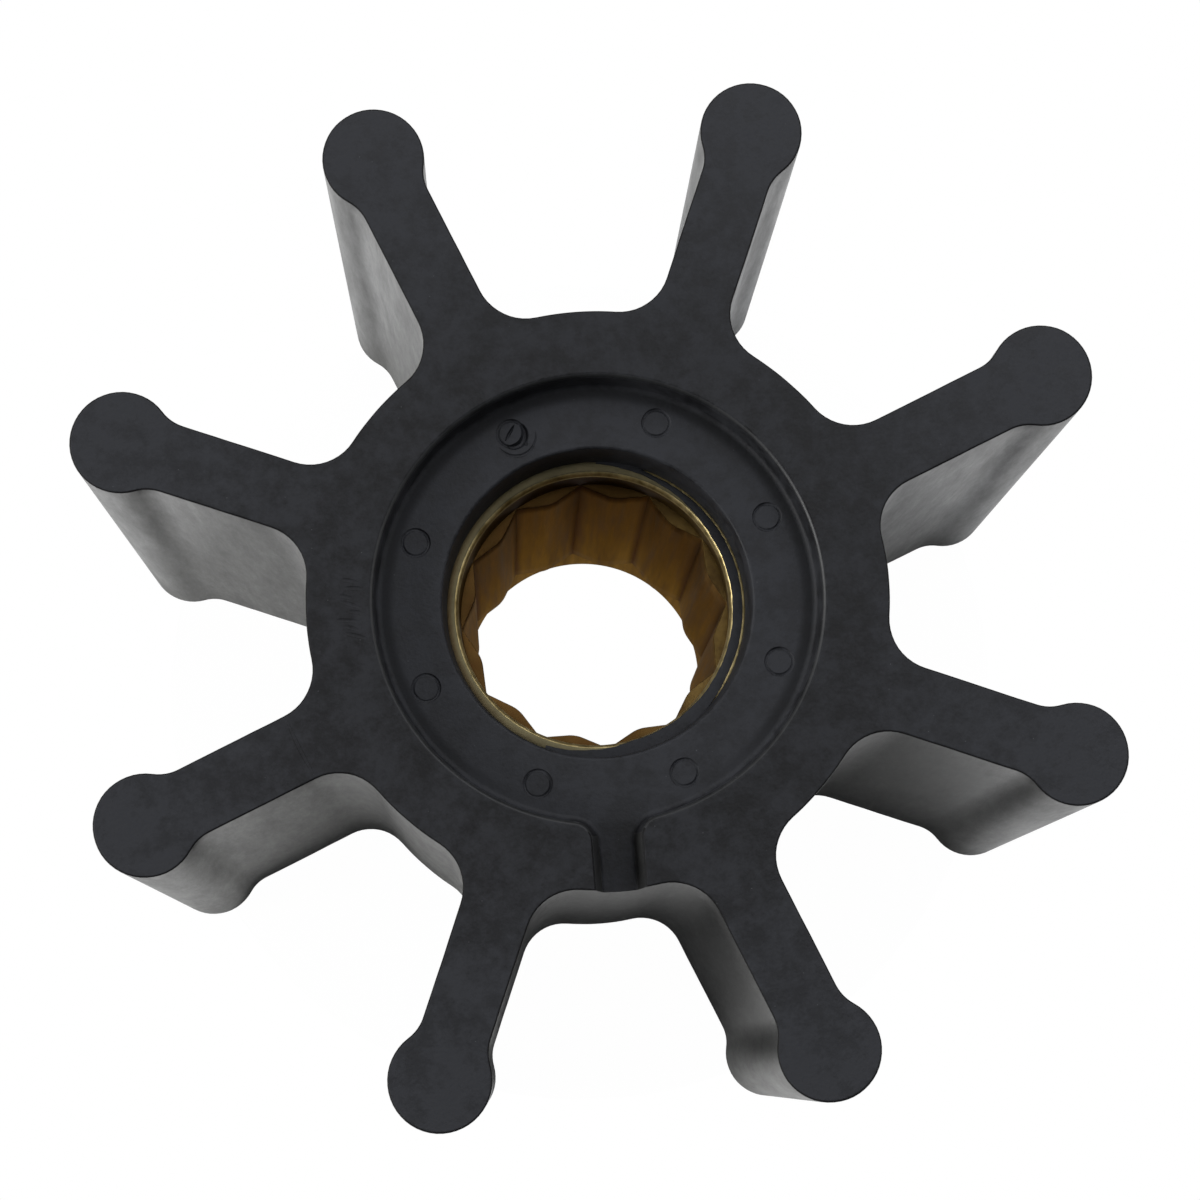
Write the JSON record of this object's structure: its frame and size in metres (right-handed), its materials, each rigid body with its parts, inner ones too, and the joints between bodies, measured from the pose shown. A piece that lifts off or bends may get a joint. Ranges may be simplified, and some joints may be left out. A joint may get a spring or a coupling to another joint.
{
  "type": "rubber pump impeller",
  "caption": "Flexible vane impeller for a small raw-water pump: rubber hub with straight radial vanes that end in round bulbs, bonded to a brass bush with a splined bore.",
  "frame": {"origin": "centre of the back face, on the bore axis, at the surface that the part stands on", "axes": "+Z along the bore axis towards the front face, the one with the drain groove; the groove points along -Y"},
  "size_m": [0.0606, 0.0606, 0.0502],
  "materials": {
    "rubber": "matte",
    "brass": "machined, dull"
  },
  "bodies": {
    "root": {"rubber_impeller": "rubber", "splined_bush": "brass"}
  },
  "joints": []
}
